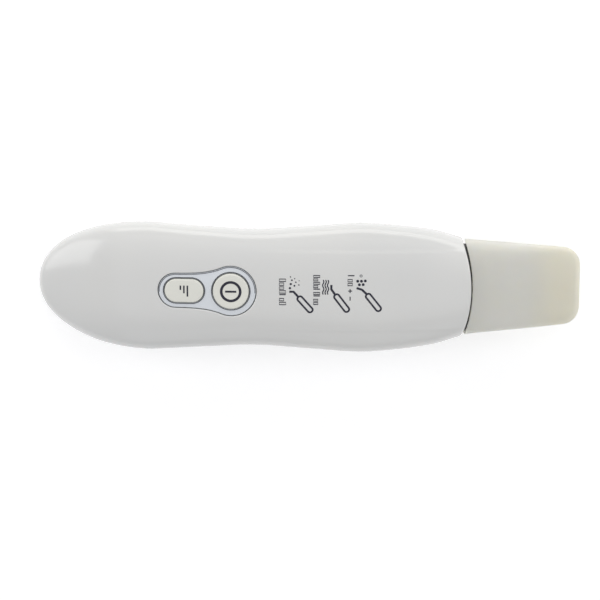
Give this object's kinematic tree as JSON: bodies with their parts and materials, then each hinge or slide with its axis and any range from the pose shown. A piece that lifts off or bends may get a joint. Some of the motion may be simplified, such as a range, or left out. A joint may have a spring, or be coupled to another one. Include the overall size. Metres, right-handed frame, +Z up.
{
  "type": "skin scrubber",
  "caption": "Handheld ultrasonic skin scrubber with a rounded white handle, an oblong and a round button, and a pull-off cap over its flat steel blade",
  "frame": {"origin": "on the surface the device lies on, under the middle of its overall length and width", "axes": "X runs from the round tail to the capped blade, Y runs across the handle and Z points up through the face with the buttons"},
  "size_m": [0.1962, 0.0472, 0.0236],
  "materials": {
    "shell_white": "polished white ABS",
    "plate_blue": "pale blue-grey, satin",
    "button_white": "warm white, satin",
    "cap_ivory": "slightly translucent ivory",
    "collar_grey": "moulded",
    "steel": "brushed",
    "aluminium": "turned",
    "copper": "copper alloy",
    "ceramic": "fired",
    "rubber_black": "moulded",
    "board_green": "solder mask",
    "black_plastic": "moulded",
    "battery_wrap": "shrink wrap",
    "foam_grey": "foam",
    "led_clear": "clear resin",
    "wire_red": "insulation",
    "wire_black": "insulation"
  },
  "bodies": {
    "housing": {"front_shell": "shell_white", "back_shell": "shell_white", "button_plate": "plate_blue", "power_switch_body": "black_plastic", "mode_switch_body": "black_plastic", "main_board": "board_green", "controller_chip": "black_plastic", "charger_chip": "black_plastic", "transformer_core": "black_plastic", "transformer_winding": "copper", "filter_capacitor": "battery_wrap", "driver_transistor_left": "black_plastic", "driver_transistor_right": "black_plastic", "battery_socket": "foam_grey", "mode_led_left": "led_clear", "mode_led_centre": "led_clear", "mode_led_right": "led_clear", "battery_cell": "battery_wrap", "battery_pad": "foam_grey", "back_mass": "steel", "electrode_rear": "copper", "piezo_ring_rear": "ceramic", "electrode_front": "copper", "piezo_ring_front": "ceramic", "horn": "aluminium", "clamp_bolt": "steel", "mount_ring_rear": "rubber_black", "mount_ring_front": "rubber_black", "blade": "steel", "blade_screw_left": "steel", "blade_screw_right": "steel", "nose_collar": "collar_grey", "hand_electrode": "steel", "charge_contact_left": "steel", "charge_contact_right": "steel", "housing_screw_1": "steel", "housing_screw_2": "steel", "housing_screw_3": "steel", "housing_screw_4": "steel", "battery_lead_red": "wire_red", "battery_lead_black": "wire_black", "transducer_lead_ground": "wire_black", "transducer_lead_drive": "wire_red", "electrode_lead": "wire_black", "charge_lead_left": "wire_red", "charge_lead_right": "wire_black"},
    "cap": {"blade_cap": "cap_ivory"},
    "power_key": {"power_button": "button_white"},
    "mode_key": {"mode_button": "button_white"},
    "power_plunger": {"power_switch_plunger": "button_white"},
    "mode_plunger": {"mode_switch_plunger": "button_white"}
  },
  "joints": [
    {"name": "cap_slide", "type": "slide", "parent": "housing", "child": "cap", "axis": [1, 0, 0], "range_m": [0, 0.045]},
    {"name": "power_button_press", "type": "slide", "parent": "housing", "child": "power_key", "axis": [0, 0, -1], "range_m": [0, 0.0005], "stiffness_N_per_m": 600},
    {"name": "mode_button_press", "type": "slide", "parent": "housing", "child": "mode_key", "axis": [0, 0, -1], "range_m": [0, 0.0005], "stiffness_N_per_m": 600},
    {"name": "power_plunger_press", "type": "slide", "parent": "housing", "child": "power_plunger", "axis": [0, 0, -1], "range_m": [0, 0.0005]},
    {"name": "mode_plunger_press", "type": "slide", "parent": "housing", "child": "mode_plunger", "axis": [0, 0, -1], "range_m": [0, 0.0005]}
  ],
  "couplings": [
    {"joint": "power_plunger_press", "follows": "power_button_press", "ratio": 1},
    {"joint": "mode_plunger_press", "follows": "mode_button_press", "ratio": 1}
  ]
}
